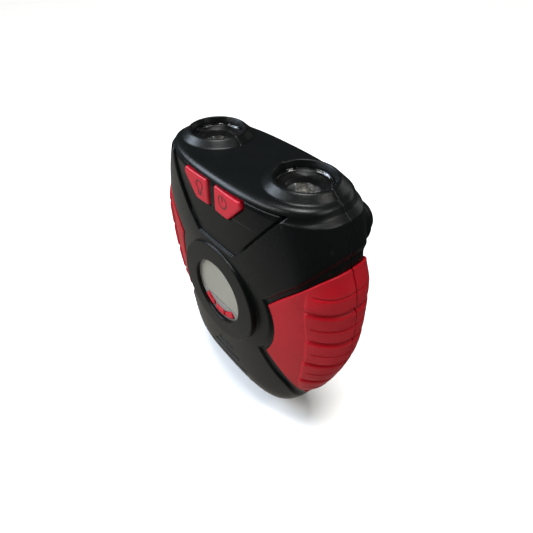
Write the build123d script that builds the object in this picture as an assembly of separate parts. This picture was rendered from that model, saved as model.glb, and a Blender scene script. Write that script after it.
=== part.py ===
from build123d import *
import math
import os

os.makedirs("parts", exist_ok=True)

# ---------------------------------------------------------------------------
# Palm-held speed radar with two lamps on top. All sizes are in millimetres.
# X is the width (+X to the right, seen from the display side), the display
# faces -Y and +Z is up. Heights are given downward from the lamp crests and
# the whole assembly is lifted by half its height when it is written, so its
# box is centred on the origin.
# ---------------------------------------------------------------------------

HEIGHT = 110.6            # lamp crests to chin
LIFT = HEIGHT / 2
WALL = 2.2                # moulded wall
GAP = 0.3                 # running gap round buttons, keys and doors

# Level sections of the housing: height, half width, front depth, back depth
# and the superellipse exponent, which is higher where the section is boxier
CROWN = [
    (-2.3, 34.1, 17.5, 14.6, 2.6), (-3.4, 35.3, 18.4, 15.4, 2.6), (-4.6, 35.8, 18.5, 15.7, 2.6),
    (-6.4, 38.2, 18.3, 17.6, 2.6),
]
FLANKS = [
    (-6.4, 38.2, 18.3, 17.6, 2.6), (-14.0, 40.8, 18.2, 17.6, 2.72), (-22.0, 42.8, 18.1, 17.3, 2.75),
    (-31.5, 45.1, 18.0, 16.8, 2.6), (-41.0, 46.5, 17.6, 16.5, 2.45), (-51.0, 46.9, 17.2, 16.3, 2.36),
    (-63.0, 45.0, 16.8, 15.9, 2.33), (-75.0, 41.5, 16.0, 15.3, 2.42), (-87.0, 36.8, 15.1, 14.2, 2.7),
    (-97.0, 31.5, 13.4, 12.2, 2.95), (-104.0, 25.0, 10.0, 9.4, 3.0), (-108.6, 16.3, 6.2, 5.9, 2.9),
    (-110.6, 8.0, 2.8, 2.8, 2.6),
]
CAVITY_TOP = (-4.7, 36.6, 18.3, 15.8, 2.6)

# Lamps
LAMP_X = 21.0             # half the lamp spacing
CREST_R = 9.9             # rounded top of each bezel
BEZEL_FOOT_R = 12.4       # where the bezel meets the top plate
TOP_PLATE_Z = -2.3
LENS_R = 8.3
LENS_Z = (-3.4, -2.0)
WELL_R = 8.5              # bore of the lamp well
WELL_OUTER_R = 10.4
WELL_BOTTOM_Z = -12.6
LED_R = 2.4
LED_TOP_Z = -4.6

# Display boss
DISPLAY_Z = -50.8
BOSS_FACE_Y = -18.7
BOSS_FACE_R = 20.4
BOSS_FOOT_R = 21.8        # where the cone meets the front
BOSS_RISE = 1.6           # height of the cone over the front
BOSS_ROOT_Y = -14.5
WINDOW_R = 12.8
RECESS_Y = -17.2          # floor of the window recess
FRAME_R = 14.0
FRAME_SEAT_Y = -13.6      # rear end of the collar round the display frame
FRAME_BACK_Y = -15.9
LCD_R = 12.2
LCD_BOTTOM = -5.5         # straight lower edge, from the window centre
KEY_RADII = (9.3, 11.9)   # the keys are sectors of a ring
KEY_SPAN = 30.0           # degrees
KEY_PITCH = 34.0          # degrees
KEY_FACE_Y = -17.8
KEY_BACK_Y = -14.9
KEY_FLANGE = 0.35         # the flange stands out this far round each key
KEY_SWITCH_R = 10.6

# Shield with the two main buttons
SHIELD_DEPTH = 0.85
SHIELD_SIDE = [(9.5, -28.3), (15.0, -22.7), (21.2, -14.4), (26.6, -7.2), (28.5, -4.4)]
BUTTON = [(1.7, -5.2), (14.0, -5.4), (14.5, -7.4), (8.2, -14.3), (1.7, -14.3)]
BUTTON_FACE_Y = -18.5
BUTTON_BACK_Y = -13.9
BUTTON_FLANGE = 0.7       # the flange stands out this far round each button
FLANGE_THICKNESS = 0.7

# Grips: outline seen from the front, right-hand side
GRIP_TOP = [(42.4, -18.4), (39.5, -21.6), (35.4, -26.7), (29.6, -33.1), (24.9, -38.9)]
GRIP_INNER_R = 26.9       # concave inner edge, concentric with the boss
GRIP_LOW = [(23.9, -63.8), (30.2, -72.1), (35.6, -80.6), (37.6, -89.0)]
GRIP_PROUD = 1.2
POCKET_DEPTH = 0.9
POCKET_TOP = [(41.6, -14.0), (38.4, -18.4), (34.9, -23.5), (29.4, -29.6), (22.6, -37.6)]
POCKET_INNER_R = 23.4
POCKET_LOW = [(20.0, -65.2), (25.8, -73.8), (31.6, -80.6), (35.0, -90.0)]

# Rib grooves across the grips: middle height and width
GROOVES = [(-33.3, 1.0), (-45.5, 1.0), (-57.5, 1.0), (-69.7, 1.0)]
GROOVE_DEPTH = 0.7
RIB_EDGE_X = 38.0         # ribs start here, nearer the middle the grip is plain

# Sound slots below the display: middle height and half length
SOUND_SLOTS = [(-83.0, 4.7), (-87.6, 8.3), (-92.2, 12.4)]

# Trigger button on the back
TRIGGER_X = 28.0
TRIGGER_Z = -18.0
TRIGGER_R = 5.9
TRIGGER_TOP_Y = 18.7
COLLAR_R = 7.9            # flat round seat about the trigger
COLLAR_Y = 15.6
TRIGGER_BACK_Y = 12.0
TRIGGER_FLANGE_R = 6.6

# Batteries: three AAA cells side by side
CELL_R = 5.25
CELL_LENGTH = 44.5
CELL_XS = (-10.9, 0, 10.9)
CELL_Y = 4.5
CELL_TOP_Z = -50.0
DOOR_X = 17.2
DOOR_Z = (-96.0, -48.6)
DOOR_THICKNESS = 1.6
DOOR_SCREW_Z = -92.8

# Boards
BOARD_Y = (-12.2, -10.8)
BUTTON_BOARD_Y = (-11.2, -10.0)
SHELL_SCREWS = [(20.0, -30.0), (-20.0, -30.0), (22.5, -75.5), (-22.5, -75.5), (0.0, -101.5)]
BOARD_SCREWS = [(15.5, -22.0), (-15.5, -22.0), (15.5, -74.0), (-15.5, -74.0)]


def save(name, part):
    """Write one named piece, lifted into the centred frame."""
    export_step(Pos(0, 0, LIFT) * part, f"parts/{name}.step")


def box(x, y, z):
    """A block between two limits on each axis."""
    size = [max(pair) - min(pair) for pair in (x, y, z)]
    middle = [sum(pair) / 2 for pair in (x, y, z)]
    return Pos(*middle) * Box(*size)


def disc_y(x, z, radius, y):
    """A round piece along Y."""
    return Pos(x, sum(y) / 2, z) * Rot(90, 0, 0) * Cylinder(radius, abs(y[1] - y[0]))


def disc_z(x, y, radius, z):
    """A round piece along Z."""
    return Pos(x, y, sum(z) / 2) * Cylinder(radius, abs(z[1] - z[0]))


def prism(face, y):
    """Stretch a front-view outline between two depths."""
    return Pos(0, max(y), 0) * extrude(Plane.XZ * face, abs(y[1] - y[0]))


def mirror_x(part):
    """The same part on the other side."""
    return mirror(part, Plane.YZ)


def level_section(level, grow, front, overrun):
    """Half of a level section, closed along the parting plane."""
    z, width, front_depth, back_depth, roundness = level
    width += grow
    depth = (front_depth if front else back_depth) + grow
    side = -1 if front else 1
    points = []
    for step in range(13):
        angle = math.pi * step / 12
        c, s = math.cos(angle), math.sin(angle)
        x = width * math.copysign(abs(c) ** (2 / roundness), c)
        points.append((x, side * depth * abs(s) ** (2 / roundness), z))
    points[0] = (width, 0, z)
    points[-1] = (-width, 0, z)
    edges = [Spline(*points, tangents=[(0, side, 0), (0, -side, 0)])]
    if overrun:
        past = -side * overrun
        corners = [(-width, 0, z), (-width, past, z), (width, past, z), (width, 0, z)]
        edges += [Line(a, b) for a, b in zip(corners, corners[1:])]
    else:
        edges.append(Line((-width, 0, z), (width, 0, z)))
    return Face(Wire(edges))


def half_flank(grow, front, overrun=0.0):
    """One half of the housing below its crown, grown or shrunk all over."""
    levels = FLANKS[:-1] + [(FLANKS[-1][0] - grow,) + FLANKS[-1][1:]]
    return loft([level_section(level, grow, front, overrun) for level in levels])


def half_body(front):
    """One half of the housing's outer form, with the crown."""
    crown = loft([level_section(level, 0, front, 0) for level in CROWN], ruled=True)
    return crown + half_flank(0, front)


def half_cavity(front):
    """Space inside one half of the housing."""
    levels = [CAVITY_TOP] + FLANKS[1:-1] + [(FLANKS[-1][0] + WALL,) + FLANKS[-1][1:]]
    return loft([level_section(level, -WALL, front, 1.0) for level in levels])


def grip_outline(top, inner_radius, low):
    """Front-view outline of a grip or of its pocket, open past the side."""
    reach = 60
    arc_mid = (math.sqrt(inner_radius ** 2 - 0.5 ** 2), DISPLAY_Z - 0.5)
    edges = [
        Line((reach, top[0][1]), top[0]),
        Spline(*top),
        ThreePointArc(top[-1], arc_mid, low[0]),
        Spline(*low),
        Line(low[-1], (reach, low[-1][1])),
        Line((reach, low[-1][1]), (reach, top[0][1])),
    ]
    return Face(Wire(edges))


def grip_region():
    return prism(grip_outline(GRIP_TOP, GRIP_INNER_R, GRIP_LOW), (-30, 30))


def pocket_region():
    return prism(grip_outline(POCKET_TOP, POCKET_INNER_R, POCKET_LOW), (-30, 30))


def shield_outline():
    """Front-view outline of the recessed field round the main buttons."""
    left_side = [(-x, z) for x, z in reversed(SHIELD_SIDE)]
    return make_face(Polyline(*left_side, *SHIELD_SIDE, close=True))


def button_outline(grow=0.0):
    """Outline of the right-hand main button."""
    face = make_face(Polyline(*BUTTON, close=True))
    face = fillet(face.vertices(), 0.8)
    return offset(face, amount=grow) if grow else face


def lcd_outline(radius, bottom):
    """Circle with a straight lower edge."""
    circle = Pos(0, DISPLAY_Z) * Circle(radius)
    band = Pos(0, DISPLAY_Z + bottom + radius) * Rectangle(4 * radius, 2 * radius)
    return circle & band


def key_outline(index, grow=0.0):
    """Sector of a ring, index -1, 0 or 1 from left to right."""
    inner, outer = KEY_RADII[0] - grow, KEY_RADII[1] + grow
    middle = -90 + index * KEY_PITCH
    half = KEY_SPAN / 2 + math.degrees(grow / KEY_RADII[1])

    def at(radius, degrees):
        angle = math.radians(degrees)
        return (radius * math.cos(angle), DISPLAY_Z + radius * math.sin(angle))

    edges = [
        ThreePointArc(at(outer, middle - half), at(outer, middle), at(outer, middle + half)),
        Line(at(outer, middle + half), at(inner, middle + half)),
        ThreePointArc(at(inner, middle + half), at(inner, middle), at(inner, middle - half)),
        Line(at(inner, middle - half), at(outer, middle - half)),
    ]
    face = Face(Wire(edges))
    return fillet(face.vertices(), 0.5)


def bezel(x):
    """Raised ring round a lamp."""
    profile = [
        (0, TOP_PLATE_Z - 1.0), (BEZEL_FOOT_R, TOP_PLATE_Z - 1.0), (BEZEL_FOOT_R, TOP_PLATE_Z),
        (CREST_R + 0.5, -0.3), (CREST_R, 0), (0, 0),
    ]
    ring = revolve(Plane.XZ * make_face(Polyline(*profile, close=True)), Axis.Z)
    return Pos(x, 0, 0) * ring


def lamp_bore(x):
    """Space inside a bezel: a funnel, the lens seat and the lamp well."""
    profile = [
        (0, 1), (CREST_R, 1), (CREST_R - 0.2, 0), (LENS_R + 0.3, -1.6), (WELL_R, -1.9),
        (WELL_R, WELL_BOTTOM_Z - 1.4), (0, WELL_BOTTOM_Z - 1.4),
    ]
    funnel = revolve(Plane.XZ * make_face(Polyline(*profile, close=True)), Axis.Z)
    return Pos(x, 0, 0) * funnel


def half_space(front):
    return box((0, 80), (-60, 0) if front else (0, 60), (-160, 40))


def right_side(front):
    """Right half of a shell: hollow, with its grip pocket and lamp well."""
    side = (half_body(front) - half_cavity(front)) & half_space(front)
    pocket = pocket_region() & half_space(front)
    side -= pocket - half_flank(-POCKET_DEPTH, front, overrun=2)
    side += bezel(LAMP_X) & half_space(front)
    side += disc_z(LAMP_X, 0, WELL_OUTER_R, (WELL_BOTTOM_Z, TOP_PLATE_Z - 1)) & half_space(front)
    return side - lamp_bore(LAMP_X)


def common_shell(front):
    """Both sides of a shell before its own openings."""
    side = right_side(front)
    return side + mirror_x(side)


def front_shell():
    """Display side of the housing."""
    shell = common_shell(True)
    shell -= prism(shield_outline(), (-10, -30)) - half_flank(-SHIELD_DEPTH, True, overrun=2)
    shell += display_boss()
    shell += disc_y(0, DISPLAY_Z, FRAME_R + 1.8, (RECESS_Y, FRAME_SEAT_Y))
    shell += screw_posts(True)
    shell += [disc_y(x, z, 2.2, (-17, BOARD_Y[0])) & half_flank(-0.6, True) for x, z in BOARD_SCREWS]
    shell -= disc_y(0, DISPLAY_Z, WINDOW_R, (-30, RECESS_Y))
    shell -= disc_y(0, DISPLAY_Z, FRAME_R + 0.1, (RECESS_Y, -10))
    for sign in (1, -1):
        hole = prism(button_outline(GAP), (-30, -12))
        shell -= hole if sign > 0 else mirror_x(hole)
    for z, half_length in SOUND_SLOTS:
        shell -= box((-half_length, half_length), (-30, -5), (z - 0.6, z + 0.6))
    shell -= [disc_y(x, z, 1.5, (-9, 1)) for x, z in SHELL_SCREWS]
    shell -= [disc_y(x, z, 1.0, (-15.0, -10)) for x, z in BOARD_SCREWS]
    return shell


def display_boss():
    """Low truncated cone that carries the display, rooted in the wall."""
    height = BOSS_ROOT_Y - BOSS_FACE_Y
    root_r = BOSS_FACE_R + (BOSS_FOOT_R - BOSS_FACE_R) / BOSS_RISE * height
    cone = Cone(root_r, BOSS_FACE_R, height)
    return Pos(0, BOSS_ROOT_Y - height / 2, DISPLAY_Z) * Rot(90, 0, 0) * cone


def screw_posts(front):
    """Posts that take the screws between the two shells."""
    if front:
        posts = [disc_y(x, z, 3.2, (-9.5, 0)) for x, z in SHELL_SCREWS]
        posts += [disc_y(x, z, 3.2, (-17, -9)) for x, z in SHELL_SCREWS[:4]]
    else:
        posts = [disc_y(x, z, 4.2, (0, 17)) for x, z in SHELL_SCREWS]
    solid = posts[0]
    for post in posts[1:]:
        solid += post
    return solid & half_flank(-0.6, front)


def rear_shell():
    """Back of the housing, with the battery opening and the trigger collar."""
    shell = common_shell(False)
    shell += screw_posts(False)
    shell += disc_y(TRIGGER_X, TRIGGER_Z, COLLAR_R, (9.4, COLLAR_Y))
    shell -= disc_y(TRIGGER_X, TRIGGER_Z, COLLAR_R, (COLLAR_Y, 30))
    shell -= disc_y(TRIGGER_X, TRIGGER_Z, TRIGGER_R + GAP, (5, 30))
    shell -= disc_y(TRIGGER_X, TRIGGER_Z, TRIGGER_FLANGE_R + 0.4, (5, 13.4))
    shell -= box((-DOOR_X - GAP, DOOR_X + GAP), (8, 30), (DOOR_Z[0] - GAP, DOOR_Z[1] + GAP))
    shell -= [disc_y(x, z, 1.6, (-1, 5)) for x, z in SHELL_SCREWS]
    shell -= [disc_y(x, z, 3.0, (4, 30)) for x, z in SHELL_SCREWS]
    shell -= box((-19.4, 19.4), (-1, 8.5), (-98.4, -45.4))
    return shell


def grip(front, right):
    """Ribbed rubber pad in one pocket."""
    pad = half_flank(GRIP_PROUD, front) - half_flank(-POCKET_DEPTH, front, overrun=2)
    pad &= grip_region() & half_space(front)
    skin = half_flank(GRIP_PROUD - GROOVE_DEPTH, front, overrun=2)
    for z, width in GROOVES:
        cutter = box((RIB_EDGE_X, 60), (-30, 30), (z - width / 2, z + width / 2))
        pad -= cutter - skin
    return pad if right else mirror_x(pad)


def main_button(right):
    """Sprung push button with a retaining flange."""
    flange_front = BUTTON_BACK_Y - FLANGE_THICKNESS
    cap = prism(button_outline(), (flange_front, BUTTON_FACE_Y))
    flange = prism(button_outline(BUTTON_FLANGE), (BUTTON_BACK_Y, flange_front))
    flange &= box((0, 20), (-20, 0), (-20, -5.1))
    button = cap + flange
    return button if right else mirror_x(button)


def display_key(index):
    flange_front = KEY_BACK_Y - FLANGE_THICKNESS
    cap = prism(key_outline(index), (flange_front, KEY_FACE_Y))
    return cap + prism(key_outline(index, KEY_FLANGE), (KEY_BACK_Y, flange_front))


def display_frame():
    """Plate behind the window that holds the screen and guides the keys."""
    plate = disc_y(0, DISPLAY_Z, FRAME_R, (RECESS_Y, FRAME_BACK_Y))
    plate -= prism(lcd_outline(LCD_R + 0.1, LCD_BOTTOM - 0.1), (-14, -20))
    for index in (-1, 0, 1):
        plate -= prism(key_outline(index, 0.2), (-14, -20))
    return plate


def reflector(x):
    profile = [(8.0, -4.3), (8.3, -4.3), (8.3, -4.9), (3.6, -10.6), (2.8, -10.6), (2.8, -10.0)]
    return Pos(x, 0, 0) * revolve(Plane.XZ * make_face(Polyline(*profile, close=True)), Axis.Z)


def led(x):
    """Round-topped light-emitting diode standing on its board."""
    dome_z = LED_TOP_Z - LED_R
    return disc_z(x, 0, LED_R, (-10.8, dome_z)) + Pos(x, 0, dome_z) * Sphere(LED_R)


def lamp_lead(sign):
    """Two-core lead from a lamp board to the button board."""
    route = FilletPolyline(
        (sign * 21, 0, -12.2), (sign * 21, 0, -16.0), (sign * 12, -5, -16.0), (sign * 12, -9.9, -16.0),
        radius=1.6,
    )
    return sweep(Plane(route @ 0, z_dir=route % 0) * Circle(0.6), path=route)


def trigger_button():
    cap = disc_y(TRIGGER_X, TRIGGER_Z, TRIGGER_R, (TRIGGER_BACK_Y + 0.6, TRIGGER_TOP_Y))
    cap = fillet(cap.edges().sort_by(Axis.Y)[-1], 1.4)
    flange = (TRIGGER_BACK_Y, TRIGGER_BACK_Y + 0.9)
    return cap + disc_y(TRIGGER_X, TRIGGER_Z, TRIGGER_FLANGE_R, flange)


def trigger_spring():
    """Return coil between the trigger button and its switch board."""
    coil = Helix(pitch=0.95, height=2.85, radius=3.2)
    wire = sweep(Plane(coil @ 0, z_dir=coil % 0) * Circle(0.25), path=coil)
    return Pos(TRIGGER_X, 11.65, TRIGGER_Z) * Rot(90, 0, 0) * wire


def battery_door():
    slab = box((-DOOR_X, DOOR_X), (0, 30), DOOR_Z)
    door = (half_flank(0, False) - half_flank(-DOOR_THICKNESS, False, overrun=2)) & slab
    door -= disc_y(0, DOOR_SCREW_Z, 1.3, (0, 30))
    return door - disc_y(0, DOOR_SCREW_Z, 2.4, (12.3, 30))


def door_screw():
    return disc_y(0, DOOR_SCREW_Z, 2.2, (12.3, 13.0)) + disc_y(0, DOOR_SCREW_Z, 1.2, (10.2, 12.3))


def battery_tray():
    """Open tray under the cells."""
    tray = box((-18.4, 18.4), (-2.4, 7.6), (-97.6, -46.2))
    return tray - box((-17.0, 17.0), (-1.2, 20), (-96.4, -47.4))


def battery_contacts():
    """Flat plates at the upper end of the cells."""
    return [box((x - 4, x + 4), (0.5, 7.0), (-48.4, -47.6)) for x in CELL_XS]


def battery_springs():
    """Short coils that press the cells upward."""
    coil = Helix(pitch=0.8, height=1.3, radius=2.6)
    wire = sweep(Plane(coil @ 0, z_dir=coil % 0) * Circle(0.22), path=coil)
    return [Pos(x, CELL_Y, -96.1) * wire for x in CELL_XS]


def battery_cell(x):
    """Cell with its raised pole at the upper end."""
    can = disc_z(x, CELL_Y, CELL_R - 0.1, (CELL_TOP_Z - CELL_LENGTH + 0.1, CELL_TOP_Z))
    nub = disc_z(x, CELL_Y, 1.9, (CELL_TOP_Z, CELL_TOP_Z + 1.0))
    return can + nub


def main_board():
    board = box((-18.4, 18.4), BOARD_Y, (-78.0, -18.5))
    board -= [disc_y(x, z, 1.1, (-20, 0)) for x, z in BOARD_SCREWS]
    return board - [disc_y(x, z, 3.6, (-20, 0)) for x, z in SHELL_SCREWS[:4]]


def board_chips():
    """Processor, memory, converter, crystal and sockets on the back of the board."""
    top = BOARD_Y[1]
    sizes = [(-6, -36, 10, 10, 1.3), (8, -34, 8, 6, 1.2), (8, -46, 6, 5, 1.0), (-9, -50, 7, 3, 1.8),
             (0, -60, 9, 7, 1.6), (10, -60, 5, 5, 2.4), (-11, -64, 4, 8, 2.0)]
    return [box((x - w / 2, x + w / 2), (top, top + t), (z - h / 2, z + h / 2)) for x, z, w, h, t in sizes]


def screw(x, z, head, shaft, head_y, shaft_y):
    """Cross-headed screw, driven from the back."""
    arm, slot = 1.1 * shaft, 0.25
    depth = (head_y[1] - 0.5, head_y[1] + 1)
    cross = box((x - arm, x + arm), depth, (z - slot, z + slot))
    cross += box((x - slot, x + slot), depth, (z - arm, z + arm))
    return disc_y(x, z, head, head_y) + disc_y(x, z, shaft, shaft_y) - cross


def shell_screw(x, z):
    return screw(x, z, 2.7, 1.4, (4.0, 6.0), (-8.0, 4.0))


def board_screw(x, z):
    return screw(x, z, 1.8, 0.9, (BOARD_Y[1], -9.6), (-14.6, BOARD_Y[1]))


def button_board():
    """Small board behind the main buttons, wider under the lamps."""
    wide = box((-14.5, 14.5), BUTTON_BOARD_Y, (-17.0, -12.9))
    return wide + box((-9.5, 9.5), BUTTON_BOARD_Y, (-15.0, -5.4))


def switch(x, z, y_back, height, side):
    """Tact switch: square can with a round plunger on its front."""
    can = box((x - side / 2, x + side / 2), (y_back - height * 0.7, y_back), (z - side / 2, z + side / 2))
    return can + disc_y(x, z, side * 0.28, (y_back - height, y_back - height * 0.7))


def key_switch(index):
    angle = math.radians(-90 + index * KEY_PITCH)
    x = KEY_SWITCH_R * math.cos(angle)
    z = DISPLAY_Z + KEY_SWITCH_R * math.sin(angle)
    return switch(x, z, BOARD_Y[0], 1.8, 3.0)


def group(parts):
    """Several separate solids written as one node."""
    return Compound([solid for part in parts for solid in part.solids()])


save("front_shell", front_shell())
save("rear_shell", rear_shell())
for side_name, is_front in (("front", True), ("rear", False)):
    save(f"grip_{side_name}_right", grip(is_front, True))
    save(f"grip_{side_name}_left", grip(is_front, False))

for hand, sign in (("right", 1), ("left", -1)):
    lamp_x = sign * LAMP_X
    save(f"lamp_lens_{hand}", disc_z(lamp_x, 0, LENS_R, LENS_Z))
    seal = disc_z(lamp_x, 0, LENS_R, (-4.2, -3.45)) - disc_z(lamp_x, 0, 7.3, (-5, -3))
    save(f"lens_gasket_{hand}", seal)
    save(f"reflector_{hand}", reflector(lamp_x))
    save(f"led_board_{hand}", disc_z(lamp_x, 0, 8.2, (-12.2, -10.9)))
    save(f"led_{hand}", led(lamp_x))

save("lamp_leads", group([lamp_lead(1), lamp_lead(-1)]))
save("power_button", main_button(True))
save("light_button", main_button(False))
save("button_board", button_board())
save("button_switches", group([switch(x, -9.8, BUTTON_BOARD_Y[0], 1.6, 4.4) for x in (6.8, -6.8)]))
for key_name, key_index in (("mode_key", -1), ("units_key", 0), ("hold_key", 1)):
    save(key_name, display_key(key_index))
save("key_switches", group([key_switch(index) for index in (-1, 0, 1)]))
save("display_frame", display_frame())
save("lcd_panel", prism(lcd_outline(LCD_R, LCD_BOTTOM), (-15.5, -17.0)))
save("lcd_backlight", prism(lcd_outline(LCD_R - 0.2, LCD_BOTTOM + 0.2), (-14.0, -15.4)))
save("lcd_connector", box((-8, 8), (-13.9, BOARD_Y[0]), (DISPLAY_Z + 6, DISPLAY_Z + 8)))

save("main_board", main_board())
save("board_chips", group(board_chips()))
save("board_screws", group([board_screw(x, z) for x, z in BOARD_SCREWS]))
save("radar_antenna", box((-9.6, 9.6), (-7.5, 7.5), (-6.4, -5.2)))
save("radar_can", box((-8.0, 8.0), (-6.0, 6.0), (-9.8, -6.4)))
save("speaker", disc_y(0, -88.0, 7.4, (-10.4, -8.6)) + disc_y(0, -88.0, 4.4, (-8.6, -6.4)))

save("trigger_button", trigger_button())
save("trigger_spring", trigger_spring())
switch_can = box((24.5, 31.5), (5.0, 8.4), (-21.5, -14.5))
save("trigger_switch", switch_can + disc_y(TRIGGER_X, TRIGGER_Z, 1.4, (8.4, 9.8)))
save("trigger_board", box((21.5, 34.5), (3.6, 4.9), (-25, -13.2)))

save("battery_tray", battery_tray())
for number, cell_x in enumerate(CELL_XS, start=1):
    save(f"battery_cell_{number}", battery_cell(cell_x))
save("battery_contacts", group(battery_contacts()))
save("battery_springs", group(battery_springs()))
save("battery_door", battery_door())
save("door_screw", door_screw())
save("shell_screws", group([shell_screw(x, z) for x, z in SHELL_SCREWS]))
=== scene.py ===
import math

import bmesh
import bpy
import numpy as np
from mathutils import Matrix, Vector


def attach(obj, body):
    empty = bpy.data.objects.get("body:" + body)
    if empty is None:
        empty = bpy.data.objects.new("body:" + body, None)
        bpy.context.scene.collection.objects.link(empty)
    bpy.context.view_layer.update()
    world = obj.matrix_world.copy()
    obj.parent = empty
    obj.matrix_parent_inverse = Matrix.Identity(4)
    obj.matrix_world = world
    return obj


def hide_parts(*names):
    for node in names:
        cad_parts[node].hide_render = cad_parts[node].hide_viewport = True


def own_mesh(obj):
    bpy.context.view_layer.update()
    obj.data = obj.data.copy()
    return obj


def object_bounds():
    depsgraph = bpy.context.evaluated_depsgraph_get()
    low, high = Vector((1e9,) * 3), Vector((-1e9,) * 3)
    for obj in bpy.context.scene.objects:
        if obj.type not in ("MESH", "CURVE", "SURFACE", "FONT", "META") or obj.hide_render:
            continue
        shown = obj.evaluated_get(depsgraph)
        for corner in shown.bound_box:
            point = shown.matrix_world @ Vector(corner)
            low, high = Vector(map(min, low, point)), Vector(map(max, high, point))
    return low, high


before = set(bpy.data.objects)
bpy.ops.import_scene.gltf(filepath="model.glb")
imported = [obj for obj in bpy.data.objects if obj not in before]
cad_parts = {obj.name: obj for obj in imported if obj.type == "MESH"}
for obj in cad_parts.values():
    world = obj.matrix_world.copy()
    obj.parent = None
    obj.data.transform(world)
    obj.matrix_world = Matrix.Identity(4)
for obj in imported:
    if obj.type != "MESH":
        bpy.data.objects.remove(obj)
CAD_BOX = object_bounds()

# ---------------------------------------------------------------------------
# Palm-held speed radar. The moulded pieces are worked out as distance fields
# in millimetres, with heights counted down from the lamp crests, and turned
# into meshes in metres in the shared frame.
# ---------------------------------------------------------------------------

MM = 0.001
LIFT = CAD_BOX[1][2] / MM          # crest height in the frame, in millimetres
CRISP_ANGLE = 62                   # edges sharper than this, in degrees, are not shaded smooth
KEY_CELL = 0.22                    # cell size of the small keys
BUTTON_CELL = 0.14                 # cell size of the main buttons, fine enough for their signs
COARSE = 0.28                      # cell size of the shells and grips

# Housing sections: height, half width, front depth, back depth, superellipse exponent
FLANKS = np.array([
    (-2.0, 36.6, 18.4, 17.5, 2.5), (-6.4, 38.2, 18.3, 17.6, 2.6), (-14.0, 40.8, 18.2, 17.6, 2.72),
    (-22.0, 42.8, 18.1, 17.3, 2.75), (-31.5, 45.1, 18.0, 16.8, 2.6), (-41.0, 46.5, 17.6, 16.5, 2.45),
    (-51.0, 46.9, 17.2, 16.3, 2.36), (-63.0, 45.0, 16.8, 15.9, 2.33), (-75.0, 41.5, 16.0, 15.3, 2.42),
    (-87.0, 36.8, 15.1, 14.2, 2.7), (-97.0, 31.5, 13.4, 12.2, 2.95), (-104.0, 25.0, 10.0, 9.4, 3.0),
    (-108.6, 16.3, 6.2, 5.9, 2.9), (-110.5, 8.6, 3.2, 3.1, 2.6), (-111.5, 3.0, 1.2, 1.2, 2.5),
])
BOTTOM = -110.55
CROWN_WIDTH, CROWN_FRONT, CROWN_BACK, CROWN_ROUNDNESS = 35.75, 18.55, 15.7, 2.6
TOP_PLATE_Z, CROWN_ROOT_Z = -2.3, -14.0
SHOULDER_Z = -4.5
SHOULDER_CHAMFER = 1.9
EDGE_BAND = 3.6                    # rounding along the top plate's edge
WALL = 2.2
CEILING_Z = -4.7                   # top of the cavity
SEAM = 0.09                        # half the parting gap between the shells

LAMP_X = 21.0
CREST_R, BEZEL_FOOT_R, WELL_R, WELL_OUTER_R = 9.9, 12.4, 8.5, 10.4
BEZEL_ROOT_Z = -4.3                # the bezel cone runs this far into the top
WELL_TOP_Z, WELL_BOTTOM_Z = -3.0, -12.6
FUNNEL_Z, FUNNEL_R = (-1.9, -1.6, -0.2, 0.4), (WELL_R, 8.55, 9.2, 9.3)   # bore, widening to the crest
LED_R, LED_TOP_Z = 2.4, -4.6

DISPLAY_Z = -50.8
BOSS_FACE_Y, BOSS_ROOT_Y, BOSS_R = -18.7, -12.0, 20.5
WINDOW_R, RECESS_Y, FRAME_R = 12.8, -17.2, 14.1
FRAME_RING_BACK_Y, FRAME_RING_WALL = -13.6, 1.8

SHIELD_DEPTH = 0.85                # the button recess lies this far below the skin round it
STEP_GROOVE, STEP_GROOVE_WIDTH = 0.8, 0.45   # dark line along the recess's sides
SHIELD_SIDE = [(9.5, -28.3), (15.0, -22.7), (21.2, -14.4), (26.6, -7.2), (28.5, -4.4)]
BUTTON = [(1.7, -5.2), (14.0, -5.4), (14.5, -7.4), (8.2, -14.3), (1.7, -14.3)]
BUTTON_FACE_Y, BUTTON_BACK_Y, BUTTON_FLANGE_Y = -18.45, -13.9, -14.6
BUTTON_GAP, BUTTON_FLANGE = 0.28, 0.7
BUTTON_DISH = 0.0045               # how fast the button face falls away from its middle
MARK_HALF, MARK_DEPTH = 0.26, 0.14
POWER_MARK = (6.5, -8.9, 1.95)     # centre and radius
BULB_MARK = (5.6, -8.6, 1.6)
KEY_RADII, KEY_SPAN, KEY_PITCH = (9.3, 11.9), 30.0, 34.0   # the last two in degrees
KEY_FACE_Y, KEY_BACK_Y = -17.8, -14.9
SLOTS = [(-83.0, 4.7), (-87.6, 8.3), (-92.2, 12.4)]        # height and half length
SLOT_HALF = 0.6

GRIP_TOP = [(42.4, -19.8), (39.5, -22.1), (35.4, -26.7), (29.6, -33.1), (24.9, -38.9)]
GRIP_LOW = [(23.9, -63.8), (30.2, -72.1), (35.6, -80.6), (37.6, -89.0)]
POCKET_TOP = [(41.6, -14.0), (38.4, -18.4), (34.9, -23.5), (29.4, -29.6), (22.6, -37.6)]
POCKET_LOW = [(20.0, -65.2), (25.8, -73.8), (31.6, -80.6), (35.0, -90.0)]
POCKET_DEPTH = 0.9                 # the skin steps in by this much under the grips
GRIP_GAP, GRIP_BOND = 0.12, 0.03   # gap round a pad, and clearance under it
PLAIN_PROUD, RIB_PROUD = 0.05, 1.15
GROOVE_TOP_Z, RIB_PITCH = -33.3, 12.2
GROOVE_DEPTH, GROOVE_WIDTH = 0.95, 0.75
LINE_DEPTH, LINE_WIDTH = 0.35, 0.3   # thin line along the middle of each rib
RIB_SPAN = (-86.0, -25.0)
RIB_EDGE = [
    (36.5, -22.0), (37.6, -36.0), (38.7, -46.0), (38.7, -54.0), (37.8, -63.0), (36.3, -74.0), (34.5, -90.0),
]

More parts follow.
